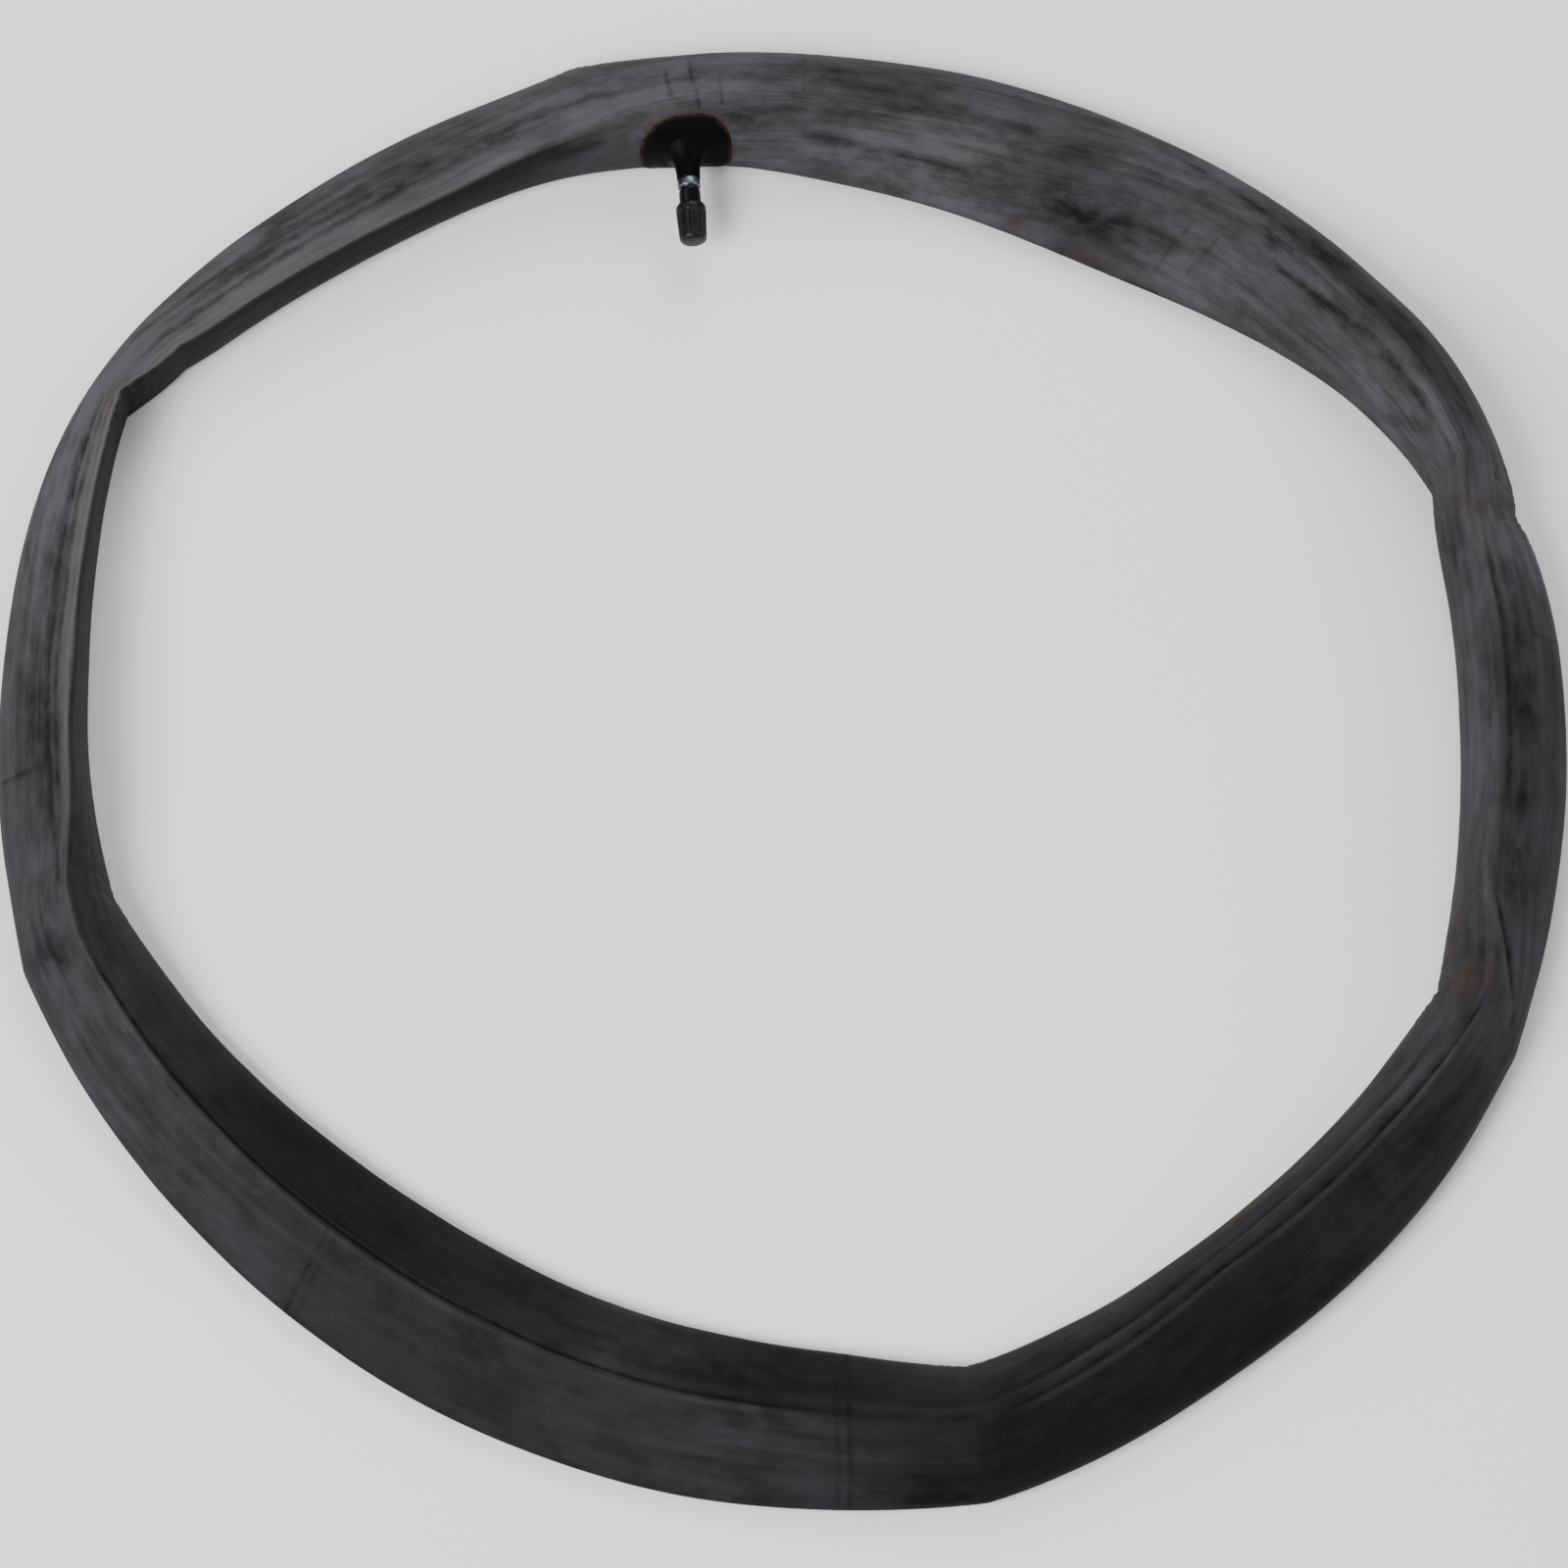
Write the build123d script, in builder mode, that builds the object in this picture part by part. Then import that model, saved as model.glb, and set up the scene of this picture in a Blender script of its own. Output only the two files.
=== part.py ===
from build123d import *

import os
from math import cos, radians, sin

# Inner tube for a 24 inch bicycle wheel, lying limp on a floor, with a rubber-covered
# car-type (8V1) valve. Millimetres. +Z is up, the floor is Z = 0, and the valve points
# along -Y, towards the middle of the loop.

# ---------------------------------------------------------------- driving dimensions
WALL = 0.9                 # butyl wall
LOOP_X, LOOP_Y = -0.35, 0.2  # middle of the loop, which centres the whole on the origin
FOOT_SHARE = 0.60          # share of a section's width that lies flat on the floor
FOOT_TRIM = 0.3            # the sections start this far below the floor, and are cut level
PATCH_FOOT = 0.4           # the valve's base ends this far above the floor

# The limp loop: one section every so often, chosen where the tube changes.
# (azimuth in degrees, middle radius, width, height, lean of the crest in half-widths;
#  a negative lean is towards the middle of the loop)
STATIONS = [
    (18, 260, 30, 38, -0.40),
    (36, 254, 46, 27, 0.00),
    (54, 242, 57, 18, 0.10),
    (72, 241, 54, 20, 0.00),
    (84, 244, 48, 25, -0.10),
    (96, 249, 43, 30, -0.20),
    (110, 252, 37, 33, -0.40),
    (126, 257, 34, 34, -0.60),
    (140, 267, 28, 36, -0.65),
    (150, 270, 24, 38, -0.60),
    (165, 260, 29, 37, -0.55),
    (180, 255, 32, 36, -0.50),
    (189, 252, 37, 33, -0.35),
    (202, 244, 46, 25, 0.00),
    (218, 235, 54, 20, 0.05),
    (236, 232, 58, 17, 0.05),
    (254, 235, 56, 17, 0.00),
    (270, 242, 53, 19, 0.00),
    (281, 250, 46, 23, 0.00),
    (298, 247, 43, 27, 0.00),
    (316, 249, 41, 29, -0.05),
    (334, 254, 34, 34, -0.30),
    (347, 252, 35, 36, -0.45),
    (360, 253, 37, 36, -0.45),
    (368, 255, 35, 37, -0.45),
]

# The valve. Distances along it are measured outwards from its root, on the tube's skin.
VALVE_X = -17.5
VALVE_Z = 15.5
ROOT_Y = 226.0
PATCH_R = 17.0             # moulded base, vulcanised to the tube
PATCH_T = 1.4
PATCH_WRAP = 20.0          # radius of the ball that rounds the base off where it wraps back
COVER_R = 4.25             # rubber cover, for an 8.5 mm rim hole
COVER_END = 9.2
FLARE_R = 6.4
FLARE_END = 2.6
LIP_R = 5.6                # rubber lip that passes through the hole in the tube
LIP_FOOT = -3.4
BAND_R = 3.95              # smooth plated band at the end of the rubber
BAND_END = 12.6
THREAD_R = 3.87            # 8V1 thread, 7.7 mm over the crests
NECK_R = 3.4
STEM_TIP = 31.6
STEM_FOOT = -3.4
SHANK_R = 3.1              # barrel inside the rubber
FLANGE_R = 4.6
AIR_R = 1.5                # air passage below the core
CHAMBER_R = 2.1            # room for the core's cup, up to the gasket's seat
CHAMBER_FOOT = 12.8
SEAT_START, SEAT_END = 22.4, 24.6
CORE_THREAD_R = 2.75

CORE_FOOT = 17.6           # lower lip of the core, which the washer closes
LIP_HOLE_R = 0.95
LEDGE = 18.8               # the spring stands on this ledge inside the core
BARREL_R = 1.85
BARREL_BORE_R = 1.45
BARREL_TOP = 26.2
PLUG_R = 2.62
PLUG_BORE_R = 1.1
PLUG_TOP = 30.9
TANG_WIDTH = 3.2           # flat for the core key
TANG_START = 28.9

PIN_R = 0.6
PIN_TIP = 31.3
COLLAR_R = 1.0             # the spring pushes on this collar
COLLAR_START, COLLAR_END = 25.2, 25.8
CUP_R = 1.7
CUP_FOOT, CUP_TOP = 15.2, 17.0
WASHER_R = 1.45
WASHER_FOOT = 16.0
SEAT_GAP = 0.05            # left between the closed washer and its lip
SPRING_R = 1.0
SPRING_WIRE_R = 0.16
SPRING_TURNS = 7

CAP_START = 18.8
CAP_END = 34.0
CAP_R = 5.45
CAP_TOP_R = 4.9
CAP_BORE_R = 3.95
CAP_FLUTES = 14
FLUTE_R = 0.6
SEAL_FOOT, SEAL_TOP = 31.9, 32.9

VALVE_ORIGIN = (VALVE_X, ROOT_Y, VALVE_Z)
VALVE_AXIS = Axis(VALVE_ORIGIN, (0, -1, 0))
# In this plane local x is the radius and local y runs outwards along the valve.
PROFILE = Plane(VALVE_ORIGIN, x_dir=(1, 0, 0), z_dir=(0, 0, -1))


def across(azimuth):
    """Plane square to the loop at an azimuth: local x outwards, local y up."""
    turn = radians(azimuth)
    out = (cos(turn), sin(turn), 0)
    return Plane((LOOP_X, LOOP_Y, 0), x_dir=out, z_dir=(sin(turn), -cos(turn), 0))


def at_valve(distance):
    """Plane square to the valve, this far out from its root."""
    return Plane((VALVE_X, ROOT_Y - distance, VALVE_Z), x_dir=(1, 0, 0), z_dir=(0, -1, 0))


def limp_section(middle, width, height, lean, grow, foot):
    """One closed section of the limp tube: a flat foot, round sides and a soft crest."""
    half = width / 2 + grow
    flat = FOOT_SHARE * half
    crest = height + grow
    ridge = lean * half
    low = foot + 0.38 * (crest - foot)
    high = foot + 0.80 * (crest - foot)
    Line((middle - flat, foot), (middle + flat, foot))
    Spline(
        (middle + flat, foot),
        (middle + half, low),
        (middle + ridge + 0.58 * (half - ridge), high),
        (middle + ridge, crest),
        (middle + ridge - 0.58 * (half + ridge), high),
        (middle - half, low),
        (middle - flat, foot),
    )


def loop_sections(grow, foot):
    """The sections all the way round, grown outwards or, if negative, inwards."""
    faces = []
    for azimuth, middle, width, height, lean in STATIONS:
        with BuildSketch(across(azimuth)) as section:
            with BuildLine():
                limp_section(middle, width, height, lean, grow, foot)
            make_face()
        faces.append(section.sketch.face())
    return faces + faces[:1]


def turn_profile(points, mode=Mode.ADD):
    """A closed profile, as (radius, distance) points, turned about the valve's axis."""
    with BuildSketch(PROFILE) as profile:
        with BuildLine():
            Polyline(*points, close=True)
        make_face()
    revolve(profile.sketch, axis=VALVE_AXIS, mode=mode)


def write(part, name):
    """Label a finished sub-part and write it as its own STEP file."""
    part.label = name
    export_step(part, f"parts/{name}.step")


os.makedirs("parts", exist_ok=True)

# ---------------------------------------------------------------- tube
with BuildPart() as skin:
    loft(loop_sections(0, foot=-FOOT_TRIM))
    split(bisect_by=Plane.XY, keep=Keep.TOP)

with BuildPart() as tube_body:
    add(skin.part)
    loft(loop_sections(-WALL, foot=WALL), mode=Mode.SUBTRACT)
    with BuildSketch(at_valve(-8)):
        Circle(LIP_R)
    extrude(amount=16, mode=Mode.SUBTRACT)
write(tube_body.part, "tube_body")

# ---------------------------------------------------------------- stem
STEM_OUTLINE = [
    (0, STEM_FOOT),
    (FLANGE_R, STEM_FOOT),
    (FLANGE_R, STEM_FOOT + 1.0),
    (SHANK_R, STEM_FOOT + 1.6),
    (SHANK_R, 4.0),
    (SHANK_R + 0.4, 4.4),
    (SHANK_R + 0.4, 5.6),
    (SHANK_R, 6.0),
    (SHANK_R, COVER_END),
    (BAND_R, COVER_END),
    (BAND_R, BAND_END - 0.5),
    (NECK_R, BAND_END),
    (NECK_R, BAND_END + 0.8),
    (THREAD_R, BAND_END + 1.3),
    (THREAD_R, STEM_TIP - 0.6),
    (THREAD_R - 0.6, STEM_TIP),
    (0, STEM_TIP),
]

with BuildPart() as valve_stem:
    turn_profile(STEM_OUTLINE)
    turn_profile(
        [
            (0, STEM_FOOT - 1),
            (AIR_R, STEM_FOOT - 1),
            (AIR_R, CHAMBER_FOOT - 1),
            (CHAMBER_R, CHAMBER_FOOT),
            (CHAMBER_R, SEAT_START),
            (CORE_THREAD_R, SEAT_END),
            (CORE_THREAD_R, STEM_TIP + 1),
            (0, STEM_TIP + 1),
        ],
        mode=Mode.SUBTRACT,
    )
write(valve_stem.part, "valve_stem")

# ---------------------------------------------------------------- rubber base and cover
with BuildPart() as valve_base:
    loft(loop_sections(PATCH_T, foot=PATCH_FOOT))
    with BuildSketch(at_valve(-PATCH_WRAP)):
        Circle(PATCH_R)
    extrude(amount=2 * PATCH_WRAP, mode=Mode.INTERSECT)
    with Locations(VALVE_ORIGIN):
        Sphere(PATCH_WRAP, mode=Mode.INTERSECT)
    turn_profile(
        [
            (0, -1.0),
            (FLARE_R + 1.6, -1.0),
            (FLARE_R + 0.8, 0.7),
            (FLARE_R - 1.0, FLARE_END - 1.0),
            (COVER_R + 0.3, FLARE_END),
            (COVER_R, FLARE_END + 1.2),
            (COVER_R, COVER_END - 0.3),
            (COVER_R - 0.3, COVER_END),
            (0, COVER_END),
        ]
    )
    add(skin.part, mode=Mode.SUBTRACT)
    with BuildSketch(at_valve(LIP_FOOT)):
        Circle(LIP_R)
    extrude(amount=0.2 - LIP_FOOT)
    turn_profile(STEM_OUTLINE, mode=Mode.SUBTRACT)
write(valve_base.part, "valve_base")

# ---------------------------------------------------------------- valve core, fixed pieces
with BuildPart() as core_plug:
    turn_profile(
        [
            (PLUG_BORE_R, BARREL_TOP),
            (PLUG_R, BARREL_TOP),
            (PLUG_R, PLUG_TOP - 0.3),
            (PLUG_R - 0.3, PLUG_TOP),
            (PLUG_BORE_R, PLUG_TOP),
        ]
    )
    with BuildSketch(at_valve(TANG_START)):
        Rectangle(3 * PLUG_R, 3 * PLUG_R)
        Rectangle(3 * PLUG_R, TANG_WIDTH, mode=Mode.SUBTRACT)
    extrude(amount=PLUG_TOP - TANG_START, mode=Mode.SUBTRACT)
write(core_plug.part, "core_plug")

with BuildPart() as core_barrel:
    turn_profile(
        [
            (LIP_HOLE_R, CORE_FOOT),
            (BARREL_R - 0.3, CORE_FOOT),
            (BARREL_R, CORE_FOOT + 0.6),
            (BARREL_R, SEAT_START + 0.2),
            (BARREL_R - 0.2, SEAT_START + 0.4),
            (BARREL_R - 0.2, SEAT_END - 0.2),
            (BARREL_R + 0.2, SEAT_END),
            (BARREL_R + 0.2, BARREL_TOP),
            (BARREL_BORE_R, BARREL_TOP),
            (BARREL_BORE_R, LEDGE),
            (LIP_HOLE_R, LEDGE),
        ]
    )
write(core_barrel.part, "core_barrel")

with BuildPart() as core_gasket:
    turn_profile(
        [
            (BARREL_R - 0.2, SEAT_START + 0.5),
            (CHAMBER_R + 0.1, SEAT_START + 0.5),
            (CORE_THREAD_R - 0.1, SEAT_END - 0.3),
            (BARREL_R - 0.2, SEAT_END - 0.3),
        ]
    )
write(core_gasket.part, "core_gasket")

SPRING_LENGTH = COLLAR_START - LEDGE - 3 * SPRING_WIRE_R
with BuildLine() as coil:
    Helix(
        pitch=SPRING_LENGTH / SPRING_TURNS,
        height=SPRING_LENGTH,
        radius=SPRING_R,
        center=(VALVE_X, ROOT_Y - LEDGE - 1.5 * SPRING_WIRE_R, VALVE_Z),
        direction=(0, -1, 0),
    )

with BuildPart() as core_spring:
    with BuildSketch(Plane(coil.line @ 0, z_dir=coil.line % 0)):
        Circle(SPRING_WIRE_R)
    sweep(path=coil.line)
write(core_spring.part, "core_spring")

# ---------------------------------------------------------------- valve core, moving pieces
with BuildPart() as core_pin:
    turn_profile(
        [
            (0, CUP_FOOT + 0.4),
            (PIN_R, CUP_FOOT + 0.4),
            (PIN_R, COLLAR_START),
            (COLLAR_R, COLLAR_START),
            (COLLAR_R, COLLAR_END),
            (PIN_R, COLLAR_END),
            (PIN_R, PIN_TIP - 0.8),
            (PIN_R + 0.2, PIN_TIP - 0.6),
            (PIN_R + 0.2, PIN_TIP - 0.2),
            (PIN_R, PIN_TIP),
            (0, PIN_TIP),
        ]
    )
write(core_pin.part, "core_pin")

with BuildPart() as seat_cup:
    turn_profile(
        [
            (0, CUP_FOOT),
            (CUP_R - 0.5, CUP_FOOT),
            (CUP_R, CUP_FOOT + 0.5),
            (CUP_R, CUP_TOP),
            (WASHER_R, CUP_TOP),
            (WASHER_R, WASHER_FOOT),
            (PIN_R, WASHER_FOOT),
            (PIN_R, CUP_FOOT + 0.4),
            (0, CUP_FOOT + 0.4),
        ]
    )
write(seat_cup.part, "seat_cup")

with BuildPart() as seat_washer:
    turn_profile(
        [
            (PIN_R, WASHER_FOOT),
            (WASHER_R, WASHER_FOOT),
            (WASHER_R, CORE_FOOT - SEAT_GAP),
            (PIN_R, CORE_FOOT - SEAT_GAP),
        ]
    )
write(seat_washer.part, "seat_washer")

# ---------------------------------------------------------------- dust cap
with BuildPart() as cap_shell:
    turn_profile(
        [
            (CAP_BORE_R, CAP_START),
            (CAP_BORE_R + 0.6, CAP_START),
            (CAP_R, CAP_START + 1.6),
            (CAP_R, CAP_START + 2.6),
            (CAP_TOP_R, CAP_END - 2.0),
            (CAP_TOP_R - 0.5, CAP_END - 0.9),
            (CAP_TOP_R - 1.5, CAP_END - 0.2),
            (CAP_TOP_R - 2.6, CAP_END),
            (0, CAP_END),
            (0, SEAL_TOP),
            (CAP_BORE_R, SEAL_TOP),
        ]
    )
    with BuildSketch(at_valve(CAP_START + 3.4)):
        with PolarLocations(CAP_TOP_R + 0.25, CAP_FLUTES):
            Circle(FLUTE_R)
    extrude(amount=CAP_END - CAP_START - 5.6, mode=Mode.SUBTRACT)
write(cap_shell.part, "cap_shell")

with BuildPart() as cap_seal:
    turn_profile(
        [
            (0, SEAL_FOOT),
            (CAP_BORE_R - 0.3, SEAL_FOOT),
            (CAP_BORE_R - 0.1, SEAL_FOOT + 0.2),
            (CAP_BORE_R - 0.1, SEAL_TOP - 0.05),
            (0, SEAL_TOP - 0.05),
        ]
    )
write(cap_seal.part, "cap_seal")
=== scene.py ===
import math

import bpy
import numpy as np
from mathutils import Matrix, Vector


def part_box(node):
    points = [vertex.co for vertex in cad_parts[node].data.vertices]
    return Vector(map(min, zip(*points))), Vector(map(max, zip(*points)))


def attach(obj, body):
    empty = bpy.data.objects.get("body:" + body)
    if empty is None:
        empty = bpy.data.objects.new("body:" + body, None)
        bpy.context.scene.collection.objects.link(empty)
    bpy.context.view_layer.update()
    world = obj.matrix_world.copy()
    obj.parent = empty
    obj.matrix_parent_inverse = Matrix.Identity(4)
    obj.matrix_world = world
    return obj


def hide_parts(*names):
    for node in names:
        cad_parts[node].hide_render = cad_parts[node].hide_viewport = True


# Looks of a limp butyl inner tube with a rubber-covered car-type valve. Metres, row frame:
# Z = 0 is the floor, and the valve points along -Y, towards the middle of the loop.
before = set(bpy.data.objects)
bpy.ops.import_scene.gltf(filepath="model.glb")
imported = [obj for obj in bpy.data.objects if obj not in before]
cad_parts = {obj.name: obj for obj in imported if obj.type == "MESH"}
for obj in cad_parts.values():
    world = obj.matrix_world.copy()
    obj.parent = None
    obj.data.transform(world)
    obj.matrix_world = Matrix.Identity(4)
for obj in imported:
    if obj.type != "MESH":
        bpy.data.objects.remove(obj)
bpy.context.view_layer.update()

MM = 0.001
TURN = 2 * math.pi

# ---------------------------------------------------------------- small helpers


def around(azimuth, knots, blur=2.5):
    """Smooth closed curve through (azimuth, value) knots, read at azimuths in degrees."""
    places, values = zip(*sorted(knots))
    offsets = np.linspace(-2, 2, 9) * blur
    weights = np.exp(-((offsets / blur) ** 2) / 2)
    total = sum(
        w * np.interp(azimuth + o, places, values, period=360)
        for o, w in zip(offsets, weights)
    )
    return total / weights.sum()


def apart(azimuth, centre):
    """Signed difference of azimuths in degrees, from -180 to 180."""
    return (azimuth - centre + 180) % 360 - 180


def hump(distance, width):
    """Bell of height 1."""
    return np.exp(-((distance / width) ** 2))


def cusp(distance, width):
    """Pointed bump of height 1, which ends softly at its width."""
    return np.clip(1 - np.abs(distance) / width, 0, 1) ** 2


def smooth(low, high, value):
    """Soft step from 0 at low to 1 at high."""
    t = np.clip((value - low) / (high - low), 0, 1)
    return t * t * (3 - 2 * t)


def window(azimuth, start, end, fade):
    """1 between two azimuths and 0 outside them."""
    middle = start + ((end - start) % 360) / 2
    half = ((end - start) % 360) / 2
    return 1 - smooth(half - fade, half, np.abs(apart(azimuth, middle)))


def new_mesh(name, points, faces, smooth_shading=True):
    """A mesh object from an array of points and a list or array of faces."""
    mesh = bpy.data.meshes.new(name)
    mesh.from_pydata(points, [], faces)
    mesh.polygons.foreach_set("use_smooth", [smooth_shading] * len(mesh.polygons))
    mesh.validate()
    mesh.update()
    piece = bpy.data.objects.new(name, mesh)
    bpy.context.scene.collection.objects.link(piece)
    return piece


def grid_faces(rows, columns):
    """Quads of a grid of points, row by row, that closes on itself both ways."""
    i = np.arange(rows)[:, None]
    j = np.arange(columns)[None, :]
    i2, j2 = (i + 1) % rows, (j + 1) % columns
    quads = np.stack([i * columns + j, i2 * columns + j, i2 * columns + j2, i * columns + j2], -1)
    return quads.reshape(-1, 4)


# ---------------------------------------------------------------- materials


class Finish:
    """A procedural material: short calls that each add one node and return its output."""

    def __init__(self, name):
        self.material = bpy.data.materials.new(name)
        self.material.use_nodes = True
        self.tree = self.material.node_tree
        self.shader = self.tree.nodes["Principled BSDF"]

    def node(self, kind, **settings):
        made = self.tree.nodes.new(kind)
        for key, value in settings.items():
            setattr(made, key, value)
        return made

    def feed(self, socket, value):
        """Links an output to a socket, or sets the socket to a value."""
        if isinstance(value, bpy.types.NodeSocket):
            self.tree.links.new(value, socket)
        elif isinstance(value, tuple) and len(value) == 3 and socket.type == "RGBA":
            socket.default_value = (*value, 1)
        else:
            socket.default_value = value

    def attribute(self, name, output="Vector"):
        return self.node("ShaderNodeAttribute", attribute_name=name).outputs[output]

    def split(self, vector):
        made = self.node("ShaderNodeSeparateXYZ")
        self.feed(made.inputs[0], vector)
        return made.outputs[0], made.outputs[1], made.outputs[2]

    def place(self):
        return self.node("ShaderNodeTexCoord").outputs["Object"]

    def stretch(self, vector, scale):
        made = self.node("ShaderNodeMapping")
        self.feed(made.inputs["Vector"], vector)
        self.feed(made.inputs["Scale"], scale)
        return made.outputs[0]

    def noise(self, vector, scale, detail=4.0, roughness=0.55):
        made = self.node("ShaderNodeTexNoise")
        self.feed(made.inputs["Vector"], vector)
        self.feed(made.inputs["Scale"], scale)
        self.feed(made.inputs["Detail"], detail)
        self.feed(made.inputs["Roughness"], roughness)
        return made.outputs[0]

    def math(self, operation, a, b=0.0, clamp=False):
        made = self.node("ShaderNodeMath", operation=operation, use_clamp=clamp)
        self.feed(made.inputs[0], a)
        self.feed(made.inputs[1], b)
        return made.outputs[0]

    def span(self, value, low, high, to_low=0.0, to_high=1.0):
        made = self.node("ShaderNodeMapRange", interpolation_type="SMOOTHSTEP")
        for socket, number in zip(made.inputs, (value, low, high, to_low, to_high)):
            self.feed(socket, number)
        return made.outputs[0]

    def mix(self, share, a, b):
        made = self.node("ShaderNodeMix", data_type="RGBA")
        self.feed(made.inputs[0], share)
        self.feed(made.inputs[6], a)
        self.feed(made.inputs[7], b)
        return made.outputs[2]

    def bump(self, height, distance, strength, normal=None):
        made = self.node("ShaderNodeBump")
        self.feed(made.inputs["Height"], height)
        self.feed(made.inputs["Distance"], distance)
        self.feed(made.inputs["Strength"], strength)
        if normal is not None:
            self.feed(made.inputs["Normal"], normal)
        return made.outputs[0]

    def finish(self, **sockets):
        """Feeds the shader's sockets, named with underscores for spaces."""
        for name, value in sockets.items():
            self.feed(self.shader.inputs[name.replace("_", " ")], value)
        return self.material


def tube_finish():
    """Satin black butyl with a streaky bloom of talc that holds painted light too, brown stains, dark
    scuffs with painted shade, and a painted crest highlight. skin_place is (x, y on a circle round the
    loop, distance across the skin), and skin_marks is bloom and painted light, brown, dark and painted
    highlight, in that order."""
    f = Finish("butyl_rubber")
    place = f.attribute("skin_place")
    marks = f.node("ShaderNodeAttribute", attribute_name="skin_marks")
    bloom_and_light, brown, dark = f.split(marks.outputs["Vector"])
    painted_highlight = marks.outputs["Alpha"]
    long_streak = f.noise(f.stretch(place, (9.0, 9.0, 330.0)), 1.0, 5.0, 0.6)
    fine_streak = f.noise(f.stretch(place, (38.0, 38.0, 1500.0)), 1.0, 4.0, 0.6)
    cloud = f.noise(f.stretch(place, (26.0, 26.0, 60.0)), 1.0, 4.0, 0.5)
    mottle = f.noise(f.stretch(place, (95.0, 95.0, 190.0)), 1.0, 6.0, 0.65)
    blot = f.noise(f.stretch(place, (42.0, 42.0, 110.0)), 1.0, 6.0, 0.7)
    speck = f.noise(place, 900.0, 3.0, 0.6)
    long_part, fine_part = f.math("MULTIPLY", long_streak, 0.62), f.math("MULTIPLY", fine_streak, 0.38)
    streaks = f.math("ADD", long_part, fine_part)
    uneven = f.math("ADD", f.math("MULTIPLY", streaks, 2.0), f.math("MULTIPLY", cloud, 1.5))
    uneven = f.math("SUBTRACT", f.math("ADD", uneven, f.math("MULTIPLY", mottle, 1.4)), 1.57)
    # The bloom also holds painted light: the far side of the loop comes out paler, the near side
    # darker.
    talc_and_light = f.math("MULTIPLY", bloom_and_light, uneven, clamp=True)
    hue = f.span(cloud, 0.35, 0.65)
    # This pale tone stands for talc and for painted light.
    talc_and_light_tone = f.mix(hue, (0.069, 0.067, 0.069), (0.070, 0.067, 0.078))
    color = f.mix(talc_and_light, (0.0020, 0.0019, 0.0022), talc_and_light_tone)
    # Painted highlight: a warm pale tone along the crest and on raised folds.
    crest_highlight_share = f.math("MULTIPLY", painted_highlight, f.span(long_streak, 0.3, 0.6, 0.3, 0.9))
    color = f.mix(crest_highlight_share, color, (0.092, 0.085, 0.082))
    stain = f.math("MULTIPLY", brown, f.span(f.noise(place, 160.0), 0.35, 0.6, 0.15, 1.0))
    color = f.mix(stain, color, (0.036, 0.022, 0.013))
    # Dark: scuffs, dirt in the joins, and painted shade in the grooves and along the inner edge.
    scuff_and_shade = f.math("MULTIPLY", dark, f.span(mottle, 0.38, 0.62, 1.0, 0.45))
    scuff_and_shade = f.math("MAXIMUM", scuff_and_shade, f.span(blot, 0.56, 0.74, 0.0, 0.34))
    color = f.mix(scuff_and_shade, color, (0.0026, 0.0024, 0.0034))
    color = f.mix(f.span(speck, 0.62, 0.8, 0.0, 0.30), color, (0.030, 0.030, 0.031))
    satin = f.span(fine_streak, 0.3, 0.7, 0.50, 0.64)
    roughness = f.math("ADD", f.math("MULTIPLY", talc_and_light, 0.20), satin)
    grain = f.bump(speck, 0.00012, 0.35)
    relief = f.bump(streaks, 0.00045, 0.45, grain)
    return f.finish(Base_Color=color, Roughness=roughness, Normal=relief, Specular_IOR_Level=0.07)


def rubber_finish(name, base, stain_attribute=None):
    """Smooth moulded rubber with faint dust, and a brown fringe where it is stuck down."""
    f = Finish(name)
    place = f.place()
    dust = f.noise(place, 260.0, 5.0, 0.6)
    grain = f.noise(place, 2600.0, 3.0)
    color = f.mix(f.span(dust, 0.5, 0.78, 0.0, 0.4), base, (0.0045, 0.0044, 0.0044))
    if stain_attribute:
        fringe = f.attribute(stain_attribute, "Fac")
        share = f.math("MULTIPLY", fringe, f.span(f.noise(place, 420.0), 0.35, 0.62, 0.25, 0.95))
        color = f.mix(share, color, (0.030, 0.018, 0.011))
    roughness = f.span(dust, 0.35, 0.7, 0.42, 0.58)
    relief = f.bump(grain, 0.00005, 0.5, f.bump(dust, 0.0002, 0.25))
    return f.finish(Base_Color=color, Roughness=roughness, Normal=relief, Specular_IOR_Level=0.045)


def plastic_finish():
    """Satin black moulded plastic, a little greyer where fingers have rubbed it."""
    f = Finish("cap_plastic")
    place = f.place()
    wear = f.noise(place, 480.0, 4.0)
    grain = f.noise(place, 4200.0, 2.0)
    color = f.mix(f.span(wear, 0.5, 0.8, 0.0, 0.6), (0.0028, 0.0028, 0.0031), (0.010, 0.010, 0.011))
    roughness = f.span(wear, 0.3, 0.7, 0.33, 0.5)
    relief = f.bump(grain, 0.00003, 0.6)
    return f.finish(Base_Color=color, Roughness=roughness, Normal=relief, Specular_IOR_Level=0.24)


def metal_finish(name, bright, dull, shine, fineness, painted_thread_shade=None):
    """Bare metal: fine marks across the valve's axis, and dull patches. The shine is the
    lowest and highest roughness. An attribute may say where the metal is painted near black, as shade."""
    f = Finish(name)
    place = f.place()
    rings = f.noise(f.stretch(place, (60.0, fineness, 60.0)), 1.0, 3.0)
    patch = f.noise(place, 330.0, 4.0)
    color = f.mix(f.span(patch, 0.45, 0.75, 0.0, 0.8), bright, dull)
    if painted_thread_shade:
        # Painted shade: near black where the attribute says, for the shaded thread.
        color = f.mix(f.attribute(painted_thread_shade, "Fac"), color, (0.014, 0.014, 0.016))
    roughness = f.span(patch, 0.3, 0.75, *shine)
    relief = f.bump(rings, 0.00002, 0.5)
    return f.finish(Base_Color=color, Metallic=1.0, Roughness=roughness, Normal=relief)


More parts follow.
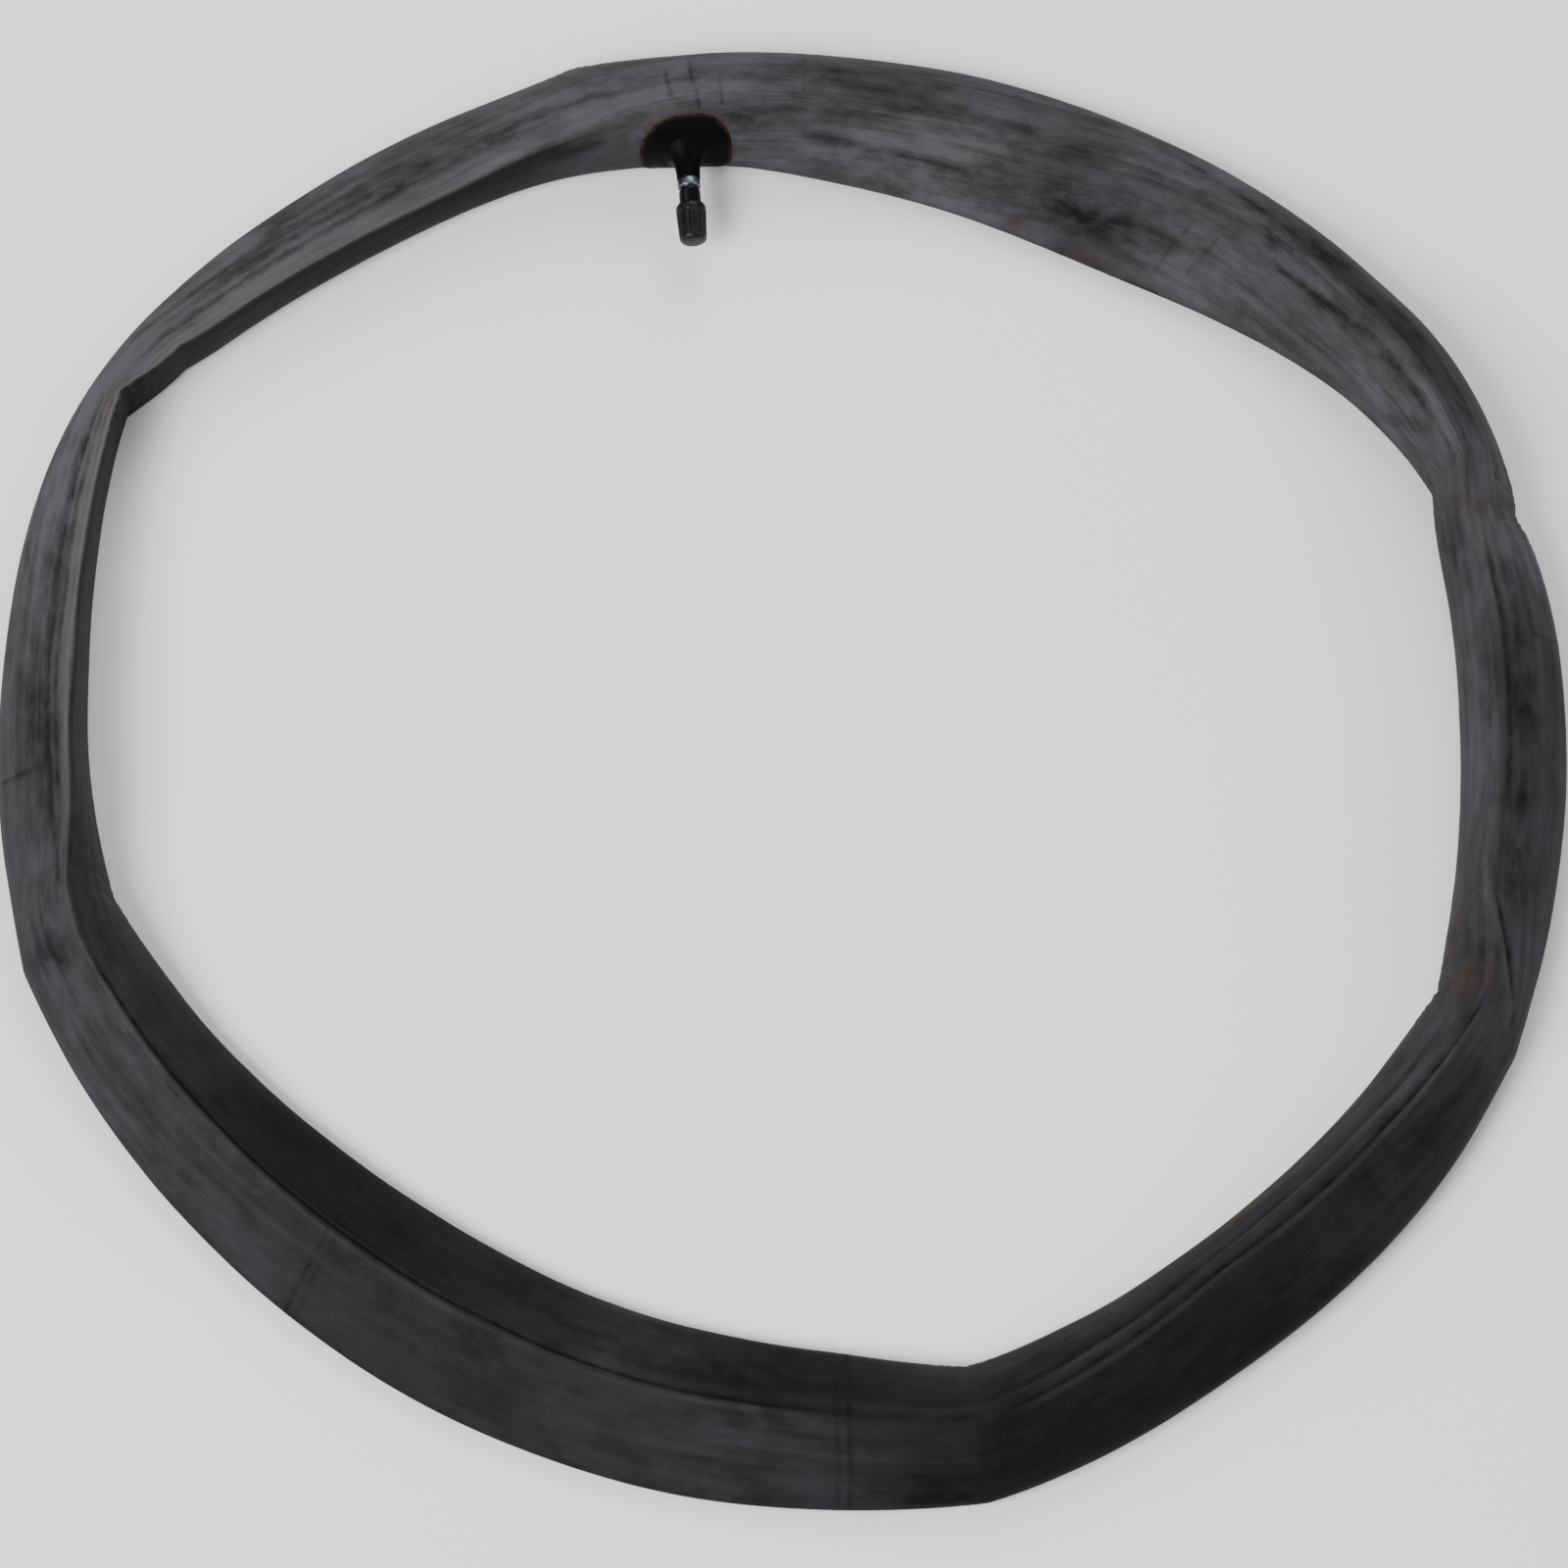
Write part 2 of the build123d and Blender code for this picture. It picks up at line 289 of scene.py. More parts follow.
def floor_finish():
    """Plain pale floor with the faintest unevenness."""
    f = Finish("pale_floor")
    cloud = f.noise(f.place(), 3.0, 3.0)
    color = f.mix(cloud, (0.86, 0.86, 0.86), (0.89, 0.89, 0.89))
    return f.finish(Base_Color=color, Roughness=0.7, Specular_IOR_Level=0.2)


TURNED, DRAWN = 9000.0, 400.0    # fineness of the marks of a lathe and of a drawing die
FINISHES = {
    "tube_rubber": tube_finish(),
    "valve_rubber": rubber_finish("valve_rubber", (0.0018, 0.0018, 0.0020), "fringe"),
    # Beyond its band the plated stem is painted near black, as shade of the thread.
    "plated_brass": metal_finish(
        "nickel_plate", (0.15, 0.17, 0.21), (0.09, 0.10, 0.12), (0.30, 0.45), TURNED, "painted_thread_shade"
    ),
    "brass": metal_finish(
        "turned_brass", (0.80, 0.60, 0.30), (0.48, 0.33, 0.15), (0.24, 0.44), TURNED
    ),
    "gasket": rubber_finish("red_gasket", (0.36, 0.055, 0.030)),
    "spring_steel": metal_finish(
        "drawn_wire", (0.55, 0.55, 0.57), (0.30, 0.29, 0.28), (0.24, 0.42), DRAWN
    ),
    "seal_rubber": rubber_finish("seal_rubber", (0.012, 0.012, 0.012)),
    "cap_plastic": plastic_finish(),
}


def dress(piece, slot, body, *nodes):
    """Gives a piece the finish of its slot and its body, and hides the CAD nodes that it stands for.
    """
    piece.data.materials.clear()
    piece.data.materials.append(FINISHES[slot])
    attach(piece, body)
    if nodes:
        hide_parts(*nodes)


# ---------------------------------------------------------------- outline of the limp tube
OUTLINE_SAMPLES = 360
VALVE_HOLE = (90.0, 99.0)        # azimuths where the tube's inner wall is cut for the valve

# Kinks, where the slack wall has buckled: (edge, azimuth, half length in degrees,
# millimetres outwards).
KINKS = [
    ("inner", 146.9, 7, 5.4),
    ("inner", 141.2, 4, 1.8),
    ("inner", 189.1, 10, 2.8),
    ("inner", 281.0, 11, 3.4),
    ("inner", 334.0, 9, 4.0),
    ("inner", 18.5, 9, 4.6),
    ("outer", 101.6, 9, 2.6),
    ("outer", 13.8, 4, -2.6),
    ("outer", 280.0, 8, 1.6),
    ("outer", 193.0, 7, 1.6),
    ("outer", 331.5, 6, 1.2),
]
# How far the slack edges lie outside the plain outline: (azimuth, millimetres). The knots were
# picked and rounded by hand, but their values follow differences that a scratch script
# measured between an earlier render and the photo.
INNER_SHIFT = [
    (0, 0.7), (12, 0.8), (17, -1.8), (24, -3.6), (28, -3.6), (32, -1.0), (37, 2.6), (44, 4.0),
    (52, 3.0), (60, 3.0), (68, 3.0), (76, 1.9), (82, 1.2), (90, 2.0), (98, 0.8), (107, 1.6),
    (114, 0.6), (128, 0.5), (136, -0.2), (143, 0.8), (148, 1.4), (152, 0.4), (157, -1.4),
    (164, 0.0), (176, -0.6), (192, -0.6), (204, -0.2), (240, -0.5), (256, -0.8), (266, -0.6),
    (272, -1.6), (280, -3.6), (288, -2.8), (296, -0.4), (310, 0.3), (324, -0.5), (334, -1.6),
    (341, 0.1), (352, 0.4),
]
OUTER_SHIFT = [
    (0, 0.4), (12, 0.8), (16, 1.2), (20, -0.2), (24, -2.6), (29, -3.8), (33, -2.4), (39, 2.2),
    (46, 3.2), (56, 1.6), (72, 1.9), (82, 1.1), (90, 0.3), (104, 0.6), (114, 1.5), (124, 1.0),
    (134, -0.4), (152, -1.0), (164, 0.1), (178, 0.1), (188, -0.5), (196, 0.4), (206, -0.6),
    (228, -1.2), (246, -1.0), (258, 0.0), (270, -1.0), (282, -1.4), (296, -0.5), (306, 0.1),
    (322, 0.6), (334, -0.1), (350, 0.9),
]

# Where the crest of the section lies, as a share of the half width (outwards positive).
CREST = [
    (0, -0.45), (12, -0.52), (20, -0.38), (32, 0.06), (44, 0.42), (54, 0.40), (66, 0.10),
    (85, -0.12), (96, -0.42), (104, -0.80), (114, -0.98), (142, -1.0), (150, -0.98), (160, -0.90),
    (172, -0.80), (182, -0.68), (191, -0.08), (205, -0.05), (240, -0.10), (262, -0.12),
    (280, 0.02), (290, -0.16), (303, -0.30), (318, -0.22), (328, 0.02), (335, 0.05), (342, -0.50),
    (352, -0.48),
]
# How sharp that crest is: 0 is a slack round back, 1 a fold.
CRISP = [
    (0, 0.80), (15, 0.85), (30, 0.65), (46, 0.45), (58, 0.15), (95, 0.10), (106, 0.45),
    (118, 0.85), (150, 0.95), (180, 0.80), (190, 0.70), (200, 0.85), (256, 0.80), (272, 0.40),
    (284, 0.70), (325, 0.90), (340, 0.85),
]
# How much lower the slack skin lies where the crest leans over, as a share of its height.
SAG = [(90, 0.0), (104, 0.14), (114, 0.28), (142, 0.28), (152, 0.22), (166, 0.10), (184, 0.0)]


def cad_outline(node, samples):
    """Inner radius, outer radius and height of the CAD loop, at even azimuths."""
    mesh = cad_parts[node].data
    points = np.empty(len(mesh.vertices) * 3)
    mesh.vertices.foreach_get("co", points)
    points = points.reshape(-1, 3)
    edges = np.empty(len(mesh.edges) * 2, int)
    mesh.edges.foreach_get("vertices", edges)
    a, b = points[edges[0::2]], points[edges[1::2]]
    azimuths = np.arange(samples) * 360 / samples
    found = np.empty((samples, 3))
    for row, angle in enumerate(np.radians(azimuths)):
        side = np.array([-math.sin(angle), math.cos(angle)])
        ahead = np.array([math.cos(angle), math.sin(angle)])
        da, db = a[:, :2] @ side, b[:, :2] @ side
        cut = (da * db < 0) & (a[:, :2] @ ahead > 0)
        share = (da[cut] / (da[cut] - db[cut]))[:, None]
        met = a[cut] * (1 - share) + b[cut] * share
        radius = np.hypot(met[:, 0], met[:, 1])
        found[row] = radius.min(), radius.max(), met[:, 2].max()
    hole = (azimuths > VALVE_HOLE[0]) & (azimuths < VALVE_HOLE[1])
    found[hole, 0] = np.interp(azimuths[hole], azimuths[~hole], found[~hole, 0])
    return azimuths, found


# ---------------------------------------------------------------- skin of the tube
AROUND = 1260                    # points round the loop
ACROSS = 88                      # points round a section, closest together at its crest
CONTROLS = 14                    # control points of a section's closed spline
CREST_CONTROL = 7
CREST_COLUMN = ACROSS // 2

LOOP_R = 245.0                   # millimetres, mean radius of the loop
BASE_R = 228.0                   # millimetres, radius of the loop at the valve's base

rng = np.random.default_rng(11)

# Rows of the skin's grid run round the loop, and its columns run across the skin.
azimuth = np.arange(AROUND) * 360 / AROUND
bearing = azimuth[:, None]
sampled, outline = cad_outline("tube_body", OUTLINE_SAMPLES)
plain_inner, plain_outer, plain_height = (
    np.interp(azimuth, sampled, outline[:, k], period=360) for k in range(3)
)
edges = {"inner": plain_inner, "outer": plain_outer}
for edge, centre, half, depth in KINKS:
    edges[edge] = edges[edge] + depth * MM * cusp(apart(azimuth, centre), half)
inner = edges["inner"] + around(azimuth, INNER_SHIFT) * MM
outer = edges["outer"] + around(azimuth, OUTER_SHIFT) * MM
height = plain_height * (1 - around(azimuth, SAG))
middle, reach = (inner + outer) / 2, (outer - inner) / 2
lean = around(azimuth, CREST)
crisp = around(azimuth, CRISP)


def section_controls():
    """Control points of every section: flat foot, round sides, two facets and the crest."""
    points = np.zeros((AROUND, CONTROLS, 2))
    foot, toe, belly = 0.60, 0.92, 0.30
    crest = np.stack([lean * reach, height], -1)
    # On each side, from the floor up: foot, toe, edge, two points of the facet, shoulder.
    for side, order in ((1, (1, 2, 3, 4, 5, 6)), (-1, (13, 12, 11, 10, 9, 8))):
        edge = np.stack([side * reach, belly * height], -1)
        points[:, order[0]] = np.stack([side * foot * reach, 0 * height], -1)
        points[:, order[1]] = np.stack([side * toe * reach, 0.07 * height], -1)
        points[:, order[2]] = edge
        bulge = height * (0.26 - 0.20 * crisp)
        for down, control in ((0.80, 3), (0.45, 4)):
            swell = 4 * down * (1 - down) * bulge
            facet = crest + down * (edge - crest) + np.stack([0.25 * side * swell, swell], -1)
            points[:, order[control]] = facet
        near = (0.24 - 0.17 * crisp)[:, None]
        shoulder = crest + near * (edge - crest)
        shoulder[:, 1] += (1 - crisp) * 0.55 * (height - shoulder[:, 1])
        points[:, order[5]] = shoulder
    points[:, CREST_CONTROL] = crest
    return points


def spline_rows(controls, places):
    """Points of closed uniform cubic splines, one spline a row, at the given places."""
    whole = np.floor(places).astype(int)
    t = places - whole
    weights = [(1 - t) ** 3, 3 * t**3 - 6 * t**2 + 4, -3 * t**3 + 3 * t**2 + 3 * t + 1, t**3]
    total = 0
    for step, weight in enumerate(weights):
        total = total + controls[:, (whole + step - 1) % CONTROLS] * (weight / 6)[None, :, None]
    return total


along = np.linspace(-1, 1, ACROSS, endpoint=False)
places = CREST_CONTROL * (1 + 0.36 * along + 0.64 * along * np.abs(along))
section = spline_rows(section_controls(), places)
width_now = section[:, :, 0]
low, high = width_now.min(1), width_now.max(1)
width_now = (width_now - ((low + high) / 2)[:, None]) * (2 * reach / (high - low))[:, None]
rise_now = section[:, :, 1] * (height / section[:, :, 1].max(1))[:, None]
radius = middle[:, None] + width_now
heading = np.radians(azimuth)[:, None]
skin = np.stack([radius * np.cos(heading), radius * np.sin(heading), rise_now], -1)


def outward(points):
    """Unit normals of the closed grid of points."""
    round_way = np.roll(points, -1, 0) - np.roll(points, 1, 0)
    cross_way = np.roll(points, -1, 1) - np.roll(points, 1, 1)
    normal = np.cross(round_way, cross_way)
    return normal / np.maximum(np.linalg.norm(normal, axis=-1, keepdims=True), 1e-12)


step_across = np.linalg.norm(np.diff(np.concatenate([skin, skin[:, :1]], 1), axis=1), axis=-1)
run = np.concatenate([np.zeros((AROUND, 1)), np.cumsum(step_across, 1)], 1)
# Distance across the skin from the crest, in millimetres: outer facet positive.
girth = (run[:, CREST_COLUMN : CREST_COLUMN + 1] - run) / MM
across = girth[:, :ACROSS]
share = width_now / reach[:, None]
upper = smooth(0.12, 0.45, rise_now / height[:, None])


def arc(centre, loop_radius):
    """Millimetres along the loop from an azimuth, at a radius in millimetres."""
    return apart(bearing, centre) / 360 * TURN * loop_radius


# Long folds on the skin: (start and end azimuth, height in mm, half width in mm,
# (azimuth, share of the half width) points of its line). Grooves have a negative height.
FOLDS = [
    (196, 268, 0.55, 1.2, [(196, 0.00), (224, -0.03), (242, -0.06), (268, -0.06)]),
    (192, 270, -0.75, 0.9, [(192, -0.10), (224, -0.12), (242, -0.15), (270, -0.15)]),
    (282, 333, 0.50, 1.2, [(282, 0.06), (303, -0.24), (320, -0.14), (333, 0.08)]),
    (280, 335, -0.80, 0.9, [(280, -0.02), (303, -0.34), (320, -0.24), (335, 0.02)]),
    (283, 330, -0.55, 1.0, [(283, -0.30), (303, -0.58), (318, -0.56), (330, -0.44)]),
    (284, 329, 0.40, 1.4, [(284, -0.22), (303, -0.50), (318, -0.48), (329, -0.36)]),
    (14, 56, -0.45, 1.5, [(14, -0.40), (24, -0.02), (32, 0.22), (44, 0.56), (56, 0.78)]),
    (16, 54, 0.40, 2.4, [(16, -0.50), (24, -0.14), (32, 0.08), (44, 0.42), (54, 0.62)]),
    (20, 46, -0.45, 1.3, [(20, -0.62), (32, -0.22), (46, 0.00)]),
    (331, 346, 0.75, 1.3, [(331, 0.86), (336, 0.24), (341, -0.40), (346, -0.56)]),
    (330, 345, -0.70, 1.2, [(330, 0.98), (336, 0.40), (341, -0.22), (345, -0.44)]),
    (104, 148, -0.35, 1.3, [(104, -0.20), (128, -0.34), (148, -0.20)]),
    (96, 140, -0.35, 1.8, [(96, 0.05), (118, -0.12), (140, 0.05)]),
    (146, 192, -0.55, 1.1, [(146, -0.10), (160, -0.26), (180, -0.26), (192, 0.02)]),
    (150, 186, -0.40, 1.0, [(150, -0.46), (168, -0.50), (186, -0.40)]),
    (346, 12, -0.50, 1.2, [(346, -0.20), (0, -0.22), (12, -0.30)]),
    (60, 88, -0.40, 1.6, [(60, -0.52), (76, -0.60), (88, -0.62)]),
    (56, 96, -0.25, 2.2, [(56, 0.20), (76, 0.28), (96, 0.20)]),
    (230, 275, -0.30, 1.8, [(230, -0.60), (255, -0.52), (275, -0.40)]),
]
# Transverse lines that the mould and the splice leave: (azimuth at the inner edge, azimuth
# at the outer edge, start and end as shares of the half width, strength).
JOIN_WIDTH, JOIN_FADE = 0.75, 0.05   # half width in mm, and fade of an end in that share
JOINS = [
    (223.4, 225.8, -1.0, 1.0, 1.0),
    (224.2, 226.6, -1.0, 1.0, 0.7),
    (271.2, 270.3, -1.0, 1.0, 1.0),
    (270.2, 269.4, -1.0, 1.0, 0.5),
    (90.8, 91.1, -0.35, 0.25, 0.7),
    (92.8, 93.2, -0.45, 0.65, 0.8),
    (94.9, 95.2, -0.20, 0.40, 0.7),
    (83.8, 84.2, 0.0, 0.9, 0.6),
    (49.6, 48.6, -0.8, -0.1, 0.6),
    (46.9, 46.2, -0.7, -0.1, 0.5),
    (178.6, 178.9, -0.1, 1.0, 0.7),
    (3.9, 3.3, 0.0, 1.0, 0.6),
    (317.0, 316.0, 0.0, 0.9, 0.5),
]
# Wrinkles that fan out from a kink: (azimuth, side, reach in mm, depth in mm), and side is
# -1 at the inner edge and 1 at the outer.
WRINKLES = [
    (147.8, -1, 24, 0.40), (189.1, -1, 20, 0.22), (281.0, -1, 20, 0.20), (334.0, -1, 20, 0.45),
    (18.5, -1, 22, 0.45), (101.6, 1, 18, 0.16), (13.8, 1, 20, 0.40), (280.0, 1, 18, 0.16),
]


def fold_relief():
    """Height of the long folds over the plain skin, in millimetres."""
    relief = np.zeros_like(across)
    for start, end, rise, half, line in FOLDS:
        base = line[0][0]
        spots = [base + (place - base) % 360 for place, _ in line]
        here = base + (azimuth - base + 10) % 360 - 10
        line_share = np.interp(here, spots, [value for _, value in line])
        off = (share - line_share[:, None]) * reach[:, None] / MM
        shown = window(azimuth, start, end, 6)[:, None] * upper
        relief += rise * hump(off, half) * shown
    return relief


def join_shade():
    """Strength of the transverse mould and splice lines, from 0 to 1."""
    shade = np.zeros_like(across)
    for inner_azimuth, outer_azimuth, start, end, strength in JOINS:
        at = inner_azimuth + (share + 1) / 2 * (outer_azimuth - inner_azimuth)
        off = arc(at, LOOP_R)
        begun = smooth(start - JOIN_FADE, start + JOIN_FADE, share)
        ended = smooth(end - JOIN_FADE, end + JOIN_FADE, share)
        line = strength * hump(off, JOIN_WIDTH) * begun * (1 - ended)
        shade = np.maximum(shade, line * upper)
    return shade


def wrinkle_relief():
    """Short wrinkles that fan out from the kinks, in millimetres."""
    relief = np.zeros_like(across)
    for centre, side, size, depth in WRINKLES:
        off = arc(centre, LOOP_R)
        edge_share = np.clip(side * share, -1, 1)
        fan = off / (1.15 - 0.75 * edge_share)
        fade = hump(off, size * 0.7) * smooth(-0.2, 0.8, edge_share)
        uneven = 1.9 * np.sin(fan * 0.31 + centre) + 1.1 * np.sin(across * 0.35)
        relief += depth * fade * np.sin(fan * TURN / 8.0 + centre + uneven)
    return relief * upper


def slack_relief():
    """Shallow waves along the slack rubber, and broad swells round the loop, in millimetres."""
    relief = np.zeros_like(across)
    for wavelength, size in ((4.3, 0.05), (6.1, 0.08), (9.4, 0.13), (14.0, 0.20)):
        drift = sum(
            rng.uniform(0.5, 1.2) * np.sin(k * np.radians(bearing) + rng.uniform(0, TURN))
            for k in (2, 3, 5, 7)
        )
        strength = 0.6 + 0.4 * np.sin(rng.integers(3, 8) * np.radians(bearing) + rng.uniform(0, TURN))
        relief += size * strength * np.sin(TURN * across / wavelength + drift)
    for _ in range(14):
        waves = int(rng.integers(8, 40))
        slant = rng.uniform(-0.05, 0.05)
        relief += 0.09 * np.sin(waves * np.radians(bearing) + slant * across + rng.uniform(0, TURN))
    return relief * upper * (1 - 0.7 * smooth(0.75, 1.0, np.abs(share)))


JOIN_HEIGHT = 0.16               # millimetres
joins, folds = join_shade(), fold_relief()
relief = folds + wrinkle_relief() + slack_relief() + JOIN_HEIGHT * joins
skin = skin + outward(skin) * (relief * MM)[:, :, None]
skin[:, :, 2] = np.maximum(skin[:, :, 2], 0)
skin_normal = outward(skin)

# Bloom of talc on the inner and outer facet, (azimuth, how pale from 0 to 1), which also holds painted
# light: the far side of the loop is paler, the near side darker. Set by hand, over several renders,
# towards brightnesses measured in the photo.
INNER_BLOOM_AND_LIGHT = [
    (0, 0.52), (12, 0.56), (24, 0.86), (36, 0.62), (48, 0.78), (58, 0.44), (72, 1.0), (84, 0.62),
    (96, 0.80), (104, 0.36), (112, 0.07), (132, 0.05), (148, 0.08), (160, 0.09), (172, 0.14),
    (184, 0.32), (192, 0.32), (204, 0.19), (216, 0.07), (228, 0.09), (240, 0.11), (252, 0.30),
    (264, 0.08), (276, 0.14), (288, 0.18), (312, 0.16), (324, 0.36), (336, 0.42), (348, 0.50),
]
OUTER_BLOOM_AND_LIGHT = [
    (0, 0.34), (12, 0.90), (24, 0.44), (36, 0.56), (48, 0.78), (60, 0.70), (72, 0.62), (84, 0.68),
    (96, 0.90), (108, 0.78), (120, 0.74), (132, 0.90), (145, 1.0), (156, 0.84), (168, 0.64),
    (180, 0.48), (192, 0.46), (204, 0.40), (216, 0.31), (228, 0.17), (240, 0.16), (252, 0.22),
    (264, 0.29), (270, 0.20), (282, 0.08), (300, 0.11), (312, 0.14), (324, 0.20), (336, 0.50),
    (348, 0.45),
]
# Dark scuffs, some of them painted shade, then brown stains: (azimuth, share of the half width, half
# length along and half width across in mm, strength).
SCUFFS_AND_SHADE = [
    (260.6, -0.45, 13, 5, 0.95), (264.5, -0.62, 12, 6, 0.9), (240.1, 0.10, 9, 5, 0.9),
    (57.0, -0.52, 24, 7, 1.0), (62.0, -0.40, 12, 4, 0.30), (127.8, 0.45, 9, 6, 0.7),
    (357.7, 0.10, 12, 5, 1.0), (7.8, 0.20, 10, 5, 0.6), (193.5, 0.45, 9, 8, 0.75),
    # The next three, at the inner edge near azimuths 67 to 89, are painted shade where the side turns
    # under.
    (89.0, -0.55, 16, 4, 0.7), (76.6, -0.72, 26, 3, 0.45), (67.0, -0.80, 22, 3, 0.35),
    (30.0, 0.45, 14, 5, 0.9), (39.0, 0.52, 15, 5, 1.0), (23.0, 0.30, 10, 4, 0.7),
    (286.0, 0.55, 14, 7, 0.5), (276.5, 0.90, 15, 6, 1.0), (322.0, 0.35, 12, 6, 0.5),
    (344.0, 0.10, 12, 6, 0.6), (218.0, -0.70, 24, 6, 0.6), (228.0, -0.60, 10, 7, 0.5),
    (302.0, 0.7, 30, 5, 0.45), (80.0, 0.45, 22, 4, 0.45), (72.0, 0.10, 24, 3, 0.45),
    (100.0, 0.30, 16, 3, 0.35), (350.0, 0.05, 10, 3, 0.8), (3.0, 0.15, 8, 3, 0.8),
    (42.0, 0.32, 10, 5, 0.9), (264.0, 0.02, 14, 4, 0.7), (264.5, 0.92, 10, 3, 0.6),
    (212.0, 0.04, 46, 4, 0.45), (228.0, 0.04, 26, 4, 0.40), (24.0, -0.86, 16, 3, 0.45),
    (12.0, -0.86, 14, 3, 0.45),
]
STAINS = [
    (14.0, 0.15, 5, 9, 0.75), (14.8, -0.25, 4, 6, 0.6), (334.5, -0.42, 6, 6, 0.75),
    (339.0, -0.85, 12, 2, 0.5), (309.5, -0.92, 18, 2, 0.6), (298.0, -0.95, 14, 2, 0.35),
    (70.7, 0.28, 7, 3, 0.4), (63.2, -0.90, 9, 2.5, 0.6), (56.0, -0.95, 8, 2, 0.5),
    (148.0, -0.6, 7, 4, 0.35), (3.5, 0.6, 1.2, 9, 0.5), (100.0, -0.8, 5, 4, 0.4),
]


def patches(spots):
    """Soft patches on the skin, from 0 to 1."""
    total = np.zeros_like(across)
    for centre, place, half_long, half_wide, strength in spots:
        off = arc(centre, middle[:, None] / MM)
        aside = (share - place) * reach[:, None] / MM
        total = np.maximum(total, strength * hump(off, half_long) * hump(aside, half_wide))
    return total * (0.3 + 0.7 * upper)


# ---------------------------------------------------------------- the valve's place
stem_low, stem_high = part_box("valve_stem")
AXIS_X, AXIS_Z = (stem_low.x + stem_high.x) / 2, (stem_low.z + stem_high.z) / 2
STEM_TIP = 31.6                  # millimetres out from the valve's root
ROOT_Y = stem_low.y + STEM_TIP * MM
valve_azimuth = math.degrees(math.atan2(ROOT_Y, AXIS_X))
valve_row = round(valve_azimuth / 360 * AROUND)
inside = np.arange(CREST_COLUMN, ACROSS)
valve_column = inside[np.argmin(np.abs(skin[valve_row, inside, 2] - AXIS_Z))]
VALVE_GIRTH = across[valve_row, valve_column]
PATCH_HALF = 16.6                # half length of the moulded base, along the loop
PATCH_UP, PATCH_DOWN = 16.2, 15.0  # its reach across the skin, to the crest and to the floor
PATCH_CORNER = 2.6               # 2 is an ellipse, larger is squarer
PATCH_THIN, PATCH_THICK = 0.42, 1.57  # near its rim and in its middle
SUNK = -0.35                     # how high the hidden edges lie over the tube's skin


def patch_share(off, aside):
    """0 in the middle of the valve's base, and 1 at its rim."""
    tall = np.where(aside > 0, PATCH_UP, PATCH_DOWN)
    sum_of_powers = np.abs(off / PATCH_HALF) ** PATCH_CORNER + np.abs(aside / tall) ** PATCH_CORNER
    return sum_of_powers ** (1 / PATCH_CORNER)


rim = patch_share(arc(valve_azimuth, BASE_R), across - VALVE_GIRTH)
facet = smooth(-1.2, 1.2, across)
# Bloom with painted light, per facet, from the tables above.
inner_bloom_and_light = around(azimuth, INNER_BLOOM_AND_LIGHT)[:, None]
outer_bloom_and_light = around(azimuth, OUTER_BLOOM_AND_LIGHT)[:, None]
bloom_and_light = inner_bloom_and_light * (1 - facet) + outer_bloom_and_light * facet
# Less bloom low on the sides: painted shade where the skin turns under towards the floor.
bloom_and_light = bloom_and_light * (0.55 + 0.45 * upper)
# Dark: scuffs, the dirt that lies in the joins, and painted shade in the grooves and under the inner
# edge.
scuffs_and_painted_shade = np.maximum(patches(SCUFFS_AND_SHADE), 0.95 * joins)
# Painted shade: darker in the grooves, as deep as they are.
scuffs_and_painted_shade = np.maximum(scuffs_and_painted_shade, np.clip(-1.6 * folds, 0, 0.95))
# Brown: stains, and the cement round the rim of the valve's base.
stained = np.maximum(patches(STAINS), 0.7 * hump(rim - 1.03, 0.05))

# Painted highlight along the crest: (azimuth, millimetres down the outer facet) and (azimuth,
# strength).
CREST_HIGHLIGHT_WIDTH = [
    (0, 2.4), (98, 3.0), (110, 7.5), (138, 7.5), (152, 5.0), (172, 4.6), (188, 3.0), (202, 2.4),
]
CREST_HIGHLIGHT = [
    (0, 0.20), (90, 0.10), (104, 0.50), (118, 0.72), (136, 0.90), (150, 1.0), (172, 0.62),
    (184, 0.50), (196, 0.10), (330, 0.22), (345, 0.26),
]
INSIDE_WIDTH = 1.3               # millimetres down the inner facet
fall = np.where(across > 0.5, around(azimuth, CREST_HIGHLIGHT_WIDTH)[:, None], INSIDE_WIDTH)
# Painted highlight along the inward-leaning crest.
crest_highlight = hump(across - 0.5, fall) * np.clip(lean[:, None] * -1.6, 0, 1) * crisp[:, None]
crest_highlight = crest_highlight * around(azimuth, CREST_HIGHLIGHT)[:, None]
# Raised folds get a weaker painted highlight too.
painted_highlight = np.maximum(crest_highlight, 0.30 * np.clip(folds, 0, 1))

tube = new_mesh("butyl_tube", skin.reshape(-1, 3), grid_faces(AROUND, ACROSS))


def corners_of(grid):
    """Values at the corners of the tube's faces, from a grid with one row and column more."""
    return np.stack([grid[:-1, :-1], grid[1:, :-1], grid[1:, 1:], grid[:-1, 1:]], 2)


def close_loop(grid):
    """The grid with its first row again at the end."""
    return np.concatenate([grid, grid[:1]], 0)


angle_full = np.repeat(np.radians(azimuth)[:, None], ACROSS + 1, 1)
round_x, round_y = LOOP_R * MM * np.cos(angle_full), LOOP_R * MM * np.sin(angle_full)
place_grid = np.stack([round_x, round_y, girth * MM], -1)
place_layer = tube.data.attributes.new("skin_place", "FLOAT_VECTOR", "CORNER")
place_layer.data.foreach_set("vector", corners_of(close_loop(place_grid)).astype(np.float32).ravel())

uv_columns = np.linspace(0, 1, ACROSS + 1)
uv_rows = np.arange(AROUND + 1) / AROUND
uv_grid = np.stack(np.broadcast_arrays(uv_rows[:, None], uv_columns[None, :]), -1)
uv_layer = tube.data.uv_layers.new(name="round_and_across")
uv_layer.data.foreach_set("uv", corners_of(uv_grid).astype(np.float32).ravel())

